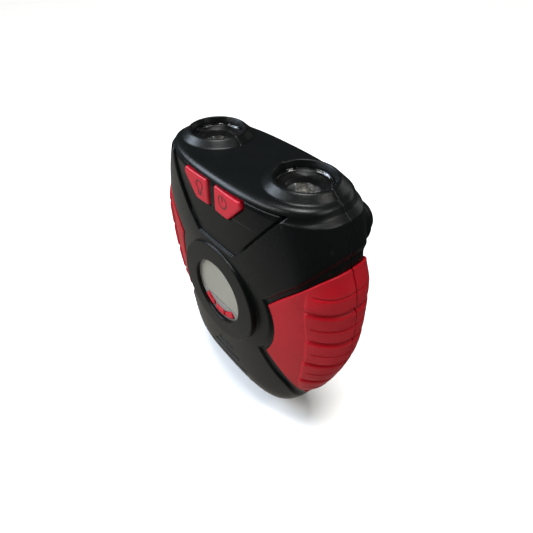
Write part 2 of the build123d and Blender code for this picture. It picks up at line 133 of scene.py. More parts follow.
TRIGGER_X, TRIGGER_Z, TRIGGER_R = 28.0, -18.0, 5.9
COLLAR_R, COLLAR_Y, COLLAR_ROOT_Y = 7.9, 15.6, 9.4
TRIGGER_GAP, TRIGGER_BORE_Y = 0.3, 5.0
TRIGGER_ROOM_R, TRIGGER_ROOM_Y = 7.0, 13.4   # room behind the collar for the button's flange
SPRING_R, SPRING_WIRE_R, SPRING_Y = 3.2, 0.25, (8.85, 11.65)
SPRING_TURNS, SPRING_STEPS, SPRING_SIDES = 3, 40, 10
DOOR_X, DOOR_MID_Z, DOOR_HALF_Z, DOOR_GAP = 17.2, -72.3, 23.7, 0.3
DOOR_THICKNESS, DOOR_OPENING_Y = 1.6, 8.0
DOOR_SCREW_Z = -92.8
RIDGES, RIDGE_HALF, RIDGE_RISE = (-53.0, -55.0, -57.0), 0.45, 0.35   # finger ridges of the cover
SHELL_SCREWS = [(20.0, -30.0), (22.5, -75.5), (0.0, -101.5)]         # right half; the left mirrors it
POST_R, COUNTERBORE_R, SCREW_BORE_R = 4.2, 3.0, 1.6


# --------------------------- distance field tools ---------------------------
# A field is negative inside. The last number given to smooth_min and smooth_max
# is the width of the rounding in millimetres.

def smooth_min(a, b, k):
    h = np.clip(0.5 + 0.5 * (b - a) / k, 0, 1)
    return b + (a - b) * h - k * h * (1 - h)


def smooth_max(a, b, k):
    return -smooth_min(-a, -b, k)


def chamfer_max(a, b, c):
    return np.maximum(np.maximum(a, b), (a + b + c) * math.sqrt(0.5))


def ramp(distance, width):
    """1 well inside, 0 well outside, smooth across the given width."""
    t = np.clip(0.5 - distance / width, 0, 1)
    return t * t * (3 - 2 * t)


def natural_spline(knots, values, at):
    """Natural cubic spline through the knots, knots rising."""
    n = len(knots)
    gap = np.diff(knots)
    system = np.eye(n)
    right = np.zeros(n)
    for i in range(1, n - 1):
        system[i, i - 1:i + 2] = gap[i - 1], 2 * (gap[i - 1] + gap[i]), gap[i]
        right[i] = 6 * ((values[i + 1] - values[i]) / gap[i] - (values[i] - values[i - 1]) / gap[i - 1])
    bend = np.linalg.solve(system, right)
    at = np.clip(at, knots[0], knots[-1])
    i = np.clip(np.searchsorted(knots, at) - 1, 0, n - 2)
    a, b, h = knots[i + 1] - at, at - knots[i], gap[i]
    cubic = (bend[i] * a ** 3 + bend[i + 1] * b ** 3) / (6 * h)
    return cubic + (values[i] / h - bend[i] * h / 6) * a + (values[i + 1] / h - bend[i + 1] * h / 6) * b


def curve_through(points, steps=8):
    """Smooth run of points through a few given ones."""
    p = np.array([points[0]] + list(points) + [points[-1]], float)
    run = []
    for i in range(1, len(p) - 2):
        for t in np.arange(steps) / steps:
            run.append(0.5 * (2 * p[i] + (p[i + 1] - p[i - 1]) * t
                              + (2 * p[i - 1] - 5 * p[i] + 4 * p[i + 1] - p[i + 2]) * t ** 2
                              + (3 * p[i] - p[i - 1] - 3 * p[i + 1] + p[i + 2]) * t ** 3))
    run.append(p[-2])
    return [tuple(q) for q in run]


def arc_about(centre, start, end, steps=16):
    """Points on the circle about centre from start to end, the short way."""
    a = math.atan2(start[1] - centre[1], start[0] - centre[0])
    b = math.atan2(end[1] - centre[1], end[0] - centre[0])
    b -= 2 * math.pi * round((b - a) / (2 * math.pi))
    r0, r1 = math.dist(start, centre), math.dist(end, centre)
    out = []
    for t in np.linspace(0, 1, steps + 1)[1:-1]:
        angle, radius = a + (b - a) * t, r0 + (r1 - r0) * t
        out.append((centre[0] + radius * math.cos(angle), centre[1] + radius * math.sin(angle)))
    return out


def polygon_distance(x, z, corners):
    """Signed distance to a closed outline, negative inside."""
    best = np.full(np.broadcast(x, z).shape, 1e9)
    inside = np.zeros(best.shape, bool)
    for (ax, az), (bx, bz) in zip(corners, corners[1:] + corners[:1]):
        ex, ez = bx - ax, bz - az
        t = np.clip(((x - ax) * ex + (z - az) * ez) / (ex * ex + ez * ez), 0, 1)
        best = np.minimum(best, (x - ax - t * ex) ** 2 + (z - az - t * ez) ** 2)
        crosses = ((az > z) != (bz > z)) & (x < ex * (z - az) / (ez if ez else 1e-9) + ax)
        inside ^= crosses
    return np.where(inside, -1, 1) * np.sqrt(best)


class Grid:
    """Sample points of a block, as broadcastable axes in millimetres."""

    def __init__(self, low, counts, cell):
        self.low, self.cell = np.array(low, float), cell
        axes = [a + cell * np.arange(n, dtype=np.float32) for a, n in zip(low, counts)]
        self.x, self.y, self.z = np.meshgrid(*axes, indexing="ij", sparse=True)
        self.flat = (axes[0][:, None], axes[2][None, :])

    def plan(self, function):
        """A field of x and z only, held constant along y."""
        return np.asarray(function(*self.flat), np.float32)[:, None, :]


def block(low, high, cell):
    """Grid that fills the space between two corners."""
    counts = [int(math.ceil((b - a) / cell)) + 1 for a, b in zip(low, high)]
    return Grid(low, counts, cell)


def mirrored(grid, field):
    """Whole grid and field from the right half, whose first column is x = 0."""
    nx, ny, nz = field.shape
    low = (-(nx - 1) * grid.cell, grid.low[1], grid.low[2])
    return Grid(low, (2 * nx - 1, ny, nz), grid.cell), np.concatenate([field[:0:-1], field])


def net_mesh(field):
    """Surface net of the zero level: one point in each cell the surface crosses."""
    f = np.asarray(field, np.float32)
    inside = f < 0
    size = np.array(f.shape) - 1
    corners = [(i, j, k) for i in (0, 1) for j in (0, 1) for k in (0, 1)]
    count = np.zeros(size, np.int8)
    for i, j, k in corners:
        count += inside[i:size[0] + i, j:size[1] + j, k:size[2] + k]
    cells = np.argwhere((count > 0) & (count < 8))
    index = np.full(size, -1, np.int64)
    index[tuple(cells.T)] = np.arange(len(cells))
    values = {c: f[tuple((cells + c).T)] for c in corners}
    total = np.zeros((len(cells), 3))
    hits = np.zeros(len(cells))
    for c in corners:
        for axis in range(3):
            if c[axis]:
                continue
            d = tuple(1 if a == axis else v for a, v in enumerate(c))
            a, b = values[c], values[d]
            cut = (a < 0) != (b < 0)
            t = np.where(cut, a / np.where(cut, a - b, 1), 0)
            point = np.array(c, float)[None, :] + np.eye(3)[axis][None, :] * t[:, None]
            total += point * cut[:, None]
            hits += cut
    points = cells + total / hits[:, None]
    faces = []
    for axis in range(3):
        u, v = (axis + 1) % 3, (axis + 2) % 3
        near = [slice(None)] * 3
        far = [slice(None)] * 3
        near[axis], far[axis] = slice(0, -1), slice(1, None)
        a, b = inside[tuple(near)], inside[tuple(far)]
        edges = np.argwhere(a != b)
        keep = (edges[:, u] > 0) & (edges[:, v] > 0) & (edges[:, u] < size[u]) & (edges[:, v] < size[v])
        edges = edges[keep]
        starts_in = a[tuple(edges.T)]
        quad = []
        for du, dv in ((1, 1), (0, 1), (0, 0), (1, 0)):
            cell = edges.copy()
            cell[:, u] -= du
            cell[:, v] -= dv
            quad.append(index[tuple(cell.T)])
        quad = np.stack(quad, 1)
        quad[~starts_in] = quad[~starts_in][:, ::-1]
        faces.append(quad)
    return settle(points, f), np.concatenate(faces)


def settle(points, field):
    """Move points in grid units onto the zero level of the field."""
    top = np.array(field.shape) - 1.001
    for _ in range(3):
        p = np.clip(points, 0, top)
        base = p.astype(int)
        t = p - base
        value = np.zeros(len(p))
        slope = np.zeros((len(p), 3))
        for i in (0, 1):
            for j in (0, 1):
                for k in (0, 1):
                    w = [t[:, a] if c else 1 - t[:, a] for a, c in enumerate((i, j, k))]
                    s = [1 if c else -1 for c in (i, j, k)]
                    v = field[base[:, 0] + i, base[:, 1] + j, base[:, 2] + k]
                    value += w[0] * w[1] * w[2] * v
                    slope[:, 0] += s[0] * w[1] * w[2] * v
                    slope[:, 1] += s[1] * w[0] * w[2] * v
                    slope[:, 2] += s[2] * w[0] * w[1] * v
        size = np.maximum((slope ** 2).sum(1), 1e-6)
        move = -slope * (value / size)[:, None]
        length = np.linalg.norm(move, axis=1)
        points = points + move * np.minimum(1, 0.4 / np.maximum(length, 1e-9))[:, None]
    return points


def build(name, verts_mm, faces, material):
    """A smooth-shaded mesh object from millimetre points."""
    mesh = bpy.data.meshes.new(name)
    verts = (np.asarray(verts_mm, float) + (0, 0, LIFT)) * MM
    mesh.from_pydata(verts.tolist(), [], [list(map(int, f)) for f in faces])
    mesh.update()
    mesh.shade_smooth()
    piece = bpy.data.objects.new(name, mesh)
    bpy.context.scene.collection.objects.link(piece)
    mesh.materials.append(material)
    return piece


def solid(name, field, grid, material, thin=1.0, flat_y=None):
    """Mesh a field, thin it out where it is flat, and true up one flat face across y."""
    points, faces = net_mesh(field)
    points = points * grid.cell + grid.low
    if flat_y is not None:
        near = np.abs(points[:, 1] - flat_y) < 0.55 * grid.cell
        points[near, 1] = flat_y
    piece = build(name, points, faces, material)
    if thin < 1:
        modifier = piece.modifiers.new("thin", "DECIMATE")
        modifier.ratio = thin
        deps = bpy.context.evaluated_depsgraph_get()
        mesh = bpy.data.meshes.new_from_object(piece.evaluated_get(deps))
        piece.modifiers.clear()
        piece.data = mesh
        mesh.shade_smooth()
    piece.data.set_sharp_from_angle(angle=math.radians(CRISP_ANGLE))
    return piece


# ------------------------------ housing fields ------------------------------

def superellipse(grid, width, front, back, roundness):
    """Distance-like field of a level section whose size follows the height."""
    depth = np.where(grid.y < 0, front, back).astype(np.float32)
    power = (np.abs(grid.x) / width) ** roundness + (np.abs(grid.y) / depth) ** roundness
    ratio = power.astype(np.float32) ** (1 / roundness) - 1
    gx, gy, gz = np.gradient(ratio, grid.cell)
    return ratio / np.sqrt(gx ** 2 + gy ** 2 + gz ** 2 + 1e-8)


def flank_field(grid):
    """Body of the housing, from the section table."""
    levels = FLANKS[::-1]
    sizes = [natural_spline(levels[:, 0], levels[:, c], grid.z).astype(np.float32) for c in (1, 2, 3, 4)]
    sides = superellipse(grid, *sizes)
    return smooth_max(sides, BOTTOM - grid.z, 1.5)


def crown_field(grid):
    """Flat-topped upper end, with a rounded edge."""
    one = np.ones_like(grid.z)
    sides = superellipse(grid, CROWN_WIDTH * one, CROWN_FRONT * one, CROWN_BACK * one, CROWN_ROUNDNESS * one)
    plate = smooth_max(sides, grid.z - TOP_PLATE_Z, EDGE_BAND)
    return np.maximum(plate, CROWN_ROOT_Z - grid.z)


def side_outline(top, low):
    """Outline open to the side: a top curve, an arc round the display and a low curve."""
    reach = 60.0
    centre = (0.0, DISPLAY_Z)
    run = [(reach, top[0][1])] + curve_through(top)
    run += arc_about(centre, top[-1], low[0])
    run += curve_through(low) + [(reach, low[-1][1])]
    return run


GRIP_OUTLINE = side_outline(GRIP_TOP, GRIP_LOW)
POCKET_OUTLINE = side_outline(POCKET_TOP, POCKET_LOW)
SHIELD_OUTLINE = [(-x, z) for x, z in reversed(SHIELD_SIDE)] + SHIELD_SIDE


def grip_plan(x, z):
    """Distance to the outline of the grips, seen from the front."""
    return polygon_distance(np.abs(x), z, GRIP_OUTLINE)


def pocket_plan(x, z):
    """Distance to the outline of the stepped-in skin round the grips."""
    return polygon_distance(np.abs(x), z, POCKET_OUTLINE)


def button_plan(x, z, grow=0.0):
    """Distance to the outline of the main buttons, grown on request."""
    return rounded_polygon(np.abs(x), z, BUTTON, 0.8) - grow


def rounded_polygon(x, z, corners, radius):
    """Outline with rounded corners: shrink it, then grow it back."""
    centre = np.mean(np.array(corners), 0)
    inset = []
    n = len(corners)
    for i in range(n):
        a, b, c = (np.array(corners[(i + k) % n], float) for k in (-1, 0, 1))
        u, v = (b - a) / np.linalg.norm(b - a), (c - b) / np.linalg.norm(c - b)
        nu, nv = np.array([-u[1], u[0]]), np.array([-v[1], v[0]])
        if np.dot(nu, centre - b) < 0:
            nu, nv = -nu, -nv
        inset.append(tuple(b + radius * (nu + nv) / (1 + np.dot(nu, nv))))
    return polygon_distance(x, z, inset) - radius


def surface_inset(grid):
    """How far the skin steps inward round the grips, as seen from the front."""
    return grid.plan(lambda x, z: ramp(pocket_plan(x, z) + 0.7, 1.6) * POCKET_DEPTH)


def shield_cut(grid, skin):
    """Take out the recess round the main buttons, with a groove along its sides."""
    def groove(x, z):
        foot = polygon_distance(x, z, SHIELD_OUTLINE) + STEP_GROOVE_WIDTH
        return np.exp(-(foot / STEP_GROOVE_WIDTH) ** 2) * STEP_GROOVE * ramp(14.0 - x, 4.0)
    outline = grid.plan(lambda x, z: polygon_distance(x, z, SHIELD_OUTLINE))
    sunk = skin + SHIELD_DEPTH + grid.plan(groove)
    return np.minimum(np.maximum(skin, -outline), np.maximum(sunk, outline - 0.5))


def lamp_distance(grid):
    return np.sqrt((np.abs(grid.x) - LAMP_X) ** 2 + grid.y ** 2)


def outer_skin(grid, front):
    """Outside of a shell before it is hollowed."""
    flank = flank_field(grid)
    shoulder = chamfer_max(flank, grid.z - SHOULDER_Z, SHOULDER_CHAMFER)
    skin = smooth_min(shoulder, crown_field(grid), 0.7)
    if front:
        skin = shield_cut(grid, skin)
    skin = skin + surface_inset(grid)
    rho = lamp_distance(grid)
    slope = (BEZEL_FOOT_R - CREST_R) / (0 - TOP_PLATE_Z)
    cone = (rho - CREST_R + grid.z * slope) / math.hypot(1, slope)
    ring = smooth_max(cone, grid.z, 0.35)
    ring = np.maximum(ring, BEZEL_ROOT_Z - grid.z)
    skin = smooth_min(skin, ring, 0.3)
    return skin, flank


def hollow(skin, flank, grid):
    """Take out the cavity, then add the lamp wells and their bores."""
    rho = lamp_distance(grid)
    cavity = np.maximum(flank + WALL, grid.z - CEILING_Z)
    shell = np.maximum(skin, -cavity)
    tube = np.maximum(rho - WELL_OUTER_R, np.maximum(WELL_BOTTOM_Z - grid.z, grid.z - WELL_TOP_Z))
    shell = np.minimum(shell, tube)
    funnel = (rho - np.interp(grid.z, FUNNEL_Z, FUNNEL_R)) * 0.8
    return smooth_max(shell, -funnel, 0.2)


def right_half(y_range, z_range=(-111.6, 0.6), reach=48.9):
    """Sampled block on the right of the middle plane; the shells are mirrored from it."""
    return block((0, y_range[0], z_range[0]), (reach, y_range[1], z_range[1]), COARSE)


def front_shell_piece(material):
    """Front half: display boss and ring, button openings and sound slots."""
    g = right_half((-19.6, 0.5))
    skin, flank = outer_skin(g, True)
    rho = np.sqrt(g.x ** 2 + (g.z - DISPLAY_Z) ** 2)
    boss = smooth_max(rho - BOSS_R, BOSS_FACE_Y - g.y, 0.2)
    boss = np.maximum(boss, g.y - BOSS_ROOT_Y)
    shell = np.minimum(skin, boss)
    shell = hollow(shell, flank, g)
    ring = np.maximum(RECESS_Y - g.y, g.y - FRAME_RING_BACK_Y)
    ring = np.maximum(rho - FRAME_R - FRAME_RING_WALL, ring)
    shell = np.minimum(shell, ring)
    shell = smooth_max(shell, -np.maximum(rho - WINDOW_R, g.y - RECESS_Y - 0.1), 0.5)
    shell = np.maximum(shell, -np.maximum(rho - FRAME_R, np.maximum(RECESS_Y - g.y, g.y + 10)))
    gap = g.plan(lambda x, z: button_plan(x, z, BUTTON_GAP))
    shell = smooth_max(shell, -np.maximum(gap, g.y - BOSS_ROOT_Y), 0.35)
    for z, half in SLOTS:
        beyond = np.maximum(np.abs(g.x) - half + SLOT_HALF, 0)
        slot = np.sqrt(beyond ** 2 + (g.z - z) ** 2) - SLOT_HALF
        shell = smooth_max(shell, -np.maximum(slot, g.y + 5.0), 0.3)
    shell = smooth_max(shell, g.y + SEAM, 0.1)
    whole, full = mirrored(g, shell)
    return solid("shell_front_skin", full, whole, material, 0.4, flat_y=-SEAM)


def rear_shell_piece(material):
    """Rear half: battery opening, screw posts and trigger collar."""
    g = right_half((-0.5, 17.6))
    skin, flank = outer_skin(g, False)
    shell = hollow(skin, flank, g)
    door = np.maximum(np.abs(g.x) - DOOR_X, np.abs(g.z - DOOR_MID_Z) - DOOR_HALF_Z) - DOOR_GAP
    shell = smooth_max(shell, -np.maximum(door, DOOR_OPENING_Y - g.y), 0.3)
    for x, z in SHELL_SCREWS:
        reach = np.sqrt((g.x - x) ** 2 + (g.z - z) ** 2)
        post = np.maximum(np.maximum(reach - POST_R, -g.y), flank + 0.6)
        shell = np.minimum(shell, post)
        shell = smooth_max(shell, -np.maximum(reach - COUNTERBORE_R, 4.0 - g.y), 0.4)
        shell = np.maximum(shell, -np.maximum(reach - SCREW_BORE_R, g.y - 5.0))
    shell = smooth_max(shell, SEAM - g.y, 0.1)
    whole, full = mirrored(g, shell)
    y = whole.y
    reach = np.sqrt((whole.x - TRIGGER_X) ** 2 + (whole.z - TRIGGER_Z) ** 2)
    full = smooth_max(full, -smooth_max(reach - COLLAR_R, COLLAR_Y - y, 0.1), 0.4)
    collar = smooth_max(smooth_max(reach - COLLAR_R, y - COLLAR_Y, 0.9), COLLAR_ROOT_Y - y, 0.1)
    full = smooth_min(full, collar, 0.5)
    full = smooth_max(full, -np.maximum(reach - TRIGGER_R - TRIGGER_GAP, TRIGGER_BORE_Y - y), 0.4)
    room = np.maximum(TRIGGER_BORE_Y - y, y - TRIGGER_ROOM_Y)
    full = np.maximum(full, -np.maximum(reach - TRIGGER_ROOM_R, room))
    return solid("shell_rear_skin", full, whole, material, 0.4, flat_y=SEAM)


def grip_height(grid):
    """Height of the pad over the housing: a plain inner field, then padded ribs."""
    def height(x, z):
        x, z = np.broadcast_arrays(np.abs(x), z)
        edge = np.array(RIB_EDGE)[::-1]
        start = np.interp(z, edge[:, 1], edge[:, 0])
        ribbed = ramp(start - x + 0.4, 1.3)
        phase = (z - GROOVE_TOP_Z) / RIB_PITCH
        across = (phase - np.round(phase)) * RIB_PITCH
        groove = np.exp(-(across / GROOVE_WIDTH) ** 2) * GROOVE_DEPTH
        half = phase + 0.5
        between = (half - np.round(half)) * RIB_PITCH
        line = np.exp(-(between / LINE_WIDTH) ** 2) * LINE_DEPTH
        fade = ramp(start + 2.2 - x, 2.0)
        active = (z > RIB_SPAN[0]) & (z < RIB_SPAN[1])
        relief = np.where(active, groove * ribbed + line * fade, 0)
        top_edge = ramp(grip_plan(x, z) + 3.8, 7.6)
        return PLAIN_PROUD + ribbed * (RIB_PROUD - PLAIN_PROUD) * top_edge - relief
    return grid.plan(height)


def grip_piece(name, front, material):
    """Right-hand pad; the left one is its mirror image."""
    y_range = (-18.6, 0.3) if front else (-0.3, 18.2)
    g = block((22.5, y_range[0], -92.0), (49.0, y_range[1], -16.5), COARSE * 0.85)
    flank = flank_field(g)
    plan = g.plan(lambda x, z: grip_plan(x, z) + GRIP_GAP)
    pad = smooth_max(flank - grip_height(g), plan, 0.8)
    pad = smooth_max(pad, -(flank + POCKET_DEPTH - GRIP_BOND), 0.1)
    seam = g.y + SEAM if front else SEAM - g.y
    pad = smooth_max(pad, seam, 0.55)
    return solid(name, pad, g, material, 0.5)


def mirror_piece(piece, name):
    """Mirror image across the middle plane."""
    mesh = piece.data.copy()
    mesh.transform(Matrix.Diagonal((-1, 1, 1, 1)))
    mesh.flip_normals()
    twin = bpy.data.objects.new(name, mesh)
    bpy.context.scene.collection.objects.link(twin)
    return twin


def stroke(x, z, start, end, half):
    """Distance to a round-ended line."""
    ex, ez = end[0] - start[0], end[1] - start[1]
    t = np.clip(((x - start[0]) * ex + (z - start[1]) * ez) / (ex * ex + ez * ez), 0, 1)
    return np.hypot(x - start[0] - t * ex, z - start[1] - t * ez) - half


def power_mark(x, z):
    """Open ring with an upright bar."""
    cx, cz, radius = POWER_MARK
    ring = np.abs(np.hypot(x - cx, z - cz) - radius) - MARK_HALF
    opening = np.maximum(np.abs(x - cx) - 0.75, cz - z)
    bar = stroke(x, z, (cx, cz + radius + 0.1), (cx, cz + 0.2), MARK_HALF)
    return np.minimum(np.maximum(ring, -opening), bar)


def bulb_mark(x, z):
    """Round bulb with a short ribbed cap."""
    cx, cz, radius = BULB_MARK
    neck = 0.8
    ring = np.abs(np.hypot(x - cx, z - cz) - radius) - MARK_HALF
    mark = np.maximum(ring, -np.maximum(np.abs(x - cx) - neck + 0.2, z - cz))
    for side in (-neck, neck):
        top, foot = (cx + side, cz - radius + 0.3), (cx + side, cz - radius - 0.8)
        mark = np.minimum(mark, stroke(x, z, top, foot, MARK_HALF))
    for drop in (0.9, 1.7):
        low = cz - radius - drop
        mark = np.minimum(mark, stroke(x, z, (cx - neck, low), (cx + neck, low), MARK_HALF))
    return mark


def paint_engraving_shade(piece, mark, material):
    """Give the faces inside an engraved sign, seen from the front, the second material: a darker red that is
    painted shade in the grooves.
    """
    piece.data.materials.append(material)
    for face in piece.data.polygons:
        x, z = abs(face.center.x) / MM, face.center.z / MM - LIFT
        if face.normal.y < -0.5 and mark(x, z) < 0.03:
            face.material_index = 1


def main_button_piece(name, material, mark):
    """Right-hand push button with rounded edges and a flange behind the wall."""
    g = block((0.2, -19.0, -16.0), (16.4, -13.4, -3.6), BUTTON_CELL)
    plan = g.plan(lambda x, z: button_plan(x, z))
    dish = BUTTON_DISH * ((g.x - 7.5) ** 2 + (g.z + 9.6) ** 2)
    engraved = g.plan(lambda x, z: ramp(mark(x, z), 0.25) * MARK_DEPTH)
    cap = smooth_max(plan, BUTTON_FACE_Y - 0.15 + dish + engraved - g.y, 0.9)
    cap = np.maximum(cap, g.y - BUTTON_BACK_Y)
    wide = g.plan(lambda x, z: button_plan(x, z, BUTTON_FLANGE))
    plate = np.maximum(BUTTON_FLANGE_Y - g.y, g.y - BUTTON_BACK_Y)
    flange = np.maximum(np.maximum(wide, g.z + 5.1), plate)
    return solid(name, np.minimum(cap, flange), g, material)


def key_piece(name, index, material):
    """One sector key behind the window."""
    g = block((-12.6, -18.2, DISPLAY_Z - 12.9), (12.6, -14.5, DISPLAY_Z - 4.0), KEY_CELL)
    angle = math.radians(-90 + index * KEY_PITCH)

    def plan(x, z):
        u, v = x, z - DISPLAY_Z
        along = u * math.cos(angle) + v * math.sin(angle)
        across = -u * math.sin(angle) + v * math.cos(angle)
        radius = np.hypot(u, v)
        turn = np.abs(np.arctan2(across, along)) - math.radians(KEY_SPAN / 2)
        side = turn * radius
        ring = np.abs(radius - sum(KEY_RADII) / 2) - (KEY_RADII[1] - KEY_RADII[0]) / 2
        return smooth_max(side, ring, 0.8)

    flat = g.plan(plan)
    cap = smooth_max(flat, KEY_FACE_Y - g.y, 0.6)
    return solid(name, np.maximum(cap, g.y - KEY_BACK_Y), g, material)


def door_piece(material):
    """Battery cover: a curved panel with rounded edges and three finger ridges."""
    g = block((-17.6, 9.0, -97.0), (17.6, 17.4, -47.6), COARSE * 0.8)
    flank = flank_field(g)
    rim = smooth_max(np.abs(g.x) - DOOR_X, np.abs(g.z - DOOR_MID_Z) - DOOR_HALF_Z, 1.2)
    door = smooth_max(smooth_max(flank, rim, 0.5), -(flank + DOOR_THICKNESS), 0.1)
    for z in RIDGES:
        bar = np.sqrt(np.maximum(np.abs(g.x) - 5.0, 0) ** 2 + (g.z - z) ** 2) - RIDGE_HALF
        door = smooth_min(door, np.maximum(bar, np.abs(flank) - RIDGE_RISE), 0.4)
    reach = np.sqrt(g.x ** 2 + (g.z - DOOR_SCREW_Z) ** 2)
    door = np.maximum(door, -(reach - 1.3))
    door = smooth_max(door, -np.maximum(reach - 2.4, 12.3 - g.y), 0.3)
    return solid("battery_cover_skin", door, g, material)


# ------------------------------ turned pieces -------------------------------

def lathe(name, profile, centre, material, axis="Z", steps=96, flats=None):
    """Turn a closed profile of (radius, height) points about an axis."""
    verts, faces = [], []
    n = len(profile)
    for s in range(steps):
        angle = 2 * math.pi * s / steps
        for r, h in profile:
            scale = flats(angle, h) if flats else 1.0
            u, v = r * scale * math.cos(angle), r * scale * math.sin(angle)
            verts.append((u, v, h) if axis == "Z" else (u, h, -v))
    for s in range(steps):
        for i in range(n):
            j = (i + 1) % n
            a, b = s * n, (s + 1) % steps * n
            faces.append((a + i, b + i, b + j, a + j))
    place = np.array(verts) + np.array(centre)
    piece = build(name, place, faces, material)
    sharpen(piece)
    return piece


def sharpen(piece, degrees=38):
    """Merge doubled points and keep crisp edges crisp."""
    bm = bmesh.new()
    bm.from_mesh(piece.data)
    bmesh.ops.remove_doubles(bm, verts=bm.verts, dist=1e-6)
    bmesh.ops.dissolve_degenerate(bm, dist=1e-7, edges=bm.edges)
    bmesh.ops.recalc_face_normals(bm, faces=bm.faces)
    for edge in bm.edges:
        if len(edge.link_faces) == 2 and edge.calc_face_angle(0) > math.radians(degrees):
            edge.smooth = False
    bm.to_mesh(piece.data)
    bm.free()


def rounded(points, radius, steps=5):
    """Closed outline with each marked corner rounded; points are (r, h, rounded?)."""
    out = []
    n = len(points)
    for i, (r, h, is_round) in enumerate(points):
        if not is_round:
            out.append((r, h))
            continue
        p = np.array((r, h), float)
        a = np.array(points[i - 1][:2], float) - p
        b = np.array(points[(i + 1) % n][:2], float) - p
        reach = min(radius, 0.48 * np.linalg.norm(a), 0.48 * np.linalg.norm(b))
        a, b = p + a / np.linalg.norm(a) * reach, p + b / np.linalg.norm(b) * reach
        for t in np.linspace(0, 1, steps):
            out.append(tuple((1 - t) ** 2 * a + 2 * t * (1 - t) * p + t ** 2 * b))
    return out


def lens_piece(hand, x):
    """Clear cover with a raised rim bead."""
    profile = rounded([
        (0, -2.05, False), (7.6, -2.15, False), (7.75, -2.0, True), (8.1, -2.0, True),
        (8.25, -2.15, True), (8.25, -3.38, False), (0, -3.38, False),
    ], 0.08)
    return lathe(f"lamp_cover_{hand}", profile, (x, 0, 0), LENS)


def baffle_piece(hand, x):
    """Dark stepped ring between the lens and the bowl."""
    profile = [
        (8.2, -3.42), (7.3, -3.42), (7.2, -3.65), (6.85, -3.7), (5.6, -4.15), (5.4, -4.35),
        (5.25, -6.2), (5.45, -6.2), (5.7, -4.5), (8.2, -4.3),
    ]
    return lathe(f"lamp_baffle_{hand}", profile, (x, 0, 0), BLACK_GLOSS)


def bowl_piece(hand, x):
    """Plated reflector with flat facets."""
    count = 10
    half = math.pi / count

    def flats(angle, h):
        if h > -6.0:
            return 1.0
        return math.cos(half) / math.cos((angle + half) % (2 * half) - half)

    profile = [
        (5.6, -4.6), (5.5, -6.3), (5.15, -7.2), (4.5, -8.4), (3.7, -9.4), (2.75, -10.1), (2.75, -10.6),
        (3.6, -10.6), (5.0, -9.2), (5.9, -7.4), (6.1, -5.0), (8.2, -5.0), (8.2, -4.4),
    ]
    return lathe(f"lamp_bowl_{hand}", profile, (x, 0, 0), BOWL, flats=flats)


def led_piece(hand, x):
    """Round-topped diode with a flange at its foot."""
    turns = np.linspace(0, math.pi / 2, 14)
    dome = [(LED_R * math.sin(t), LED_TOP_Z - LED_R + LED_R * math.cos(t)) for t in turns]
    profile = dome + [(LED_R, -10.0), (2.6, -10.1), (2.6, -10.75), (0, -10.75)]
    return lathe(f"lamp_led_{hand}", profile, (x, 0, 0), PHOSPHOR)


def trigger_piece():
    """Round push button with a dished face, seen on the back."""
    profile = rounded([
        (0, 18.15, False), (3.0, 18.25, False), (4.6, 18.66, True), (TRIGGER_R, 18.69, True),
        (TRIGGER_R, 12.9, False), (6.6, 12.9, True), (6.6, 12.0, True), (0, 12.0, False),
    ], 0.4, 7)
    return lathe("trigger_cap", profile, (TRIGGER_X, 0, TRIGGER_Z), BLACK_GLOSS, axis="Y")


def spring_piece():
    """Return coil of the trigger: a round wire wound along Y, closed at both ends."""
    count, sides = SPRING_TURNS * SPRING_STEPS, SPRING_SIDES
    along_y = np.array((0, 1, 0))
    verts, faces = [], []
    for s in range(count + 1):
        angle = 2 * math.pi * s / SPRING_STEPS
        radial = np.array((math.cos(angle), 0, math.sin(angle)))
        level = SPRING_Y[0] + (SPRING_Y[1] - SPRING_Y[0]) * s / count
        middle = SPRING_R * radial + np.array((TRIGGER_X, level, TRIGGER_Z))
        for k in range(sides):
            turn = 2 * math.pi * k / sides
            verts.append(middle + SPRING_WIRE_R * (math.cos(turn) * radial + math.sin(turn) * along_y))
    for s in range(count):
        for k in range(sides):
            j = (k + 1) % sides
            a, b = s * sides, (s + 1) * sides
            faces.append((a + k, a + j, b + j, b + k))
    last = count * sides
    faces += [tuple(range(sides))[::-1], tuple(last + k for k in range(sides))]
    piece = build("trigger_coil", verts, faces, STEEL)
    sharpen(piece, 60)
    return piece


# -------------------------------- materials ---------------------------------

DRIFT_SCALE = 60.0                 # slow colour drift, per metre
GRAIN_HEIGHT = 0.0004
WORN_EDGE = (0.52, 0.60)           # edge sharpness at which wear starts and is full


def new_material(name, colour, rough, **sockets):
    """Principled material; extra sockets are set by name."""
    mat = bpy.data.materials.new(name)
    mat.use_nodes = True
    shader = mat.node_tree.nodes["Principled BSDF"]
    shader.inputs["Base Color"].default_value = (*colour, 1)
    shader.inputs["Roughness"].default_value = rough
    for key, value in sockets.items():
        shader.inputs[key].default_value = value
    return mat


def node(mat, kind, **settings):
    made = mat.node_tree.nodes.new(kind)
    for key, value in settings.items():
        if hasattr(made, key):
            setattr(made, key, value)
        else:
            made.inputs[key].default_value = value
    return made


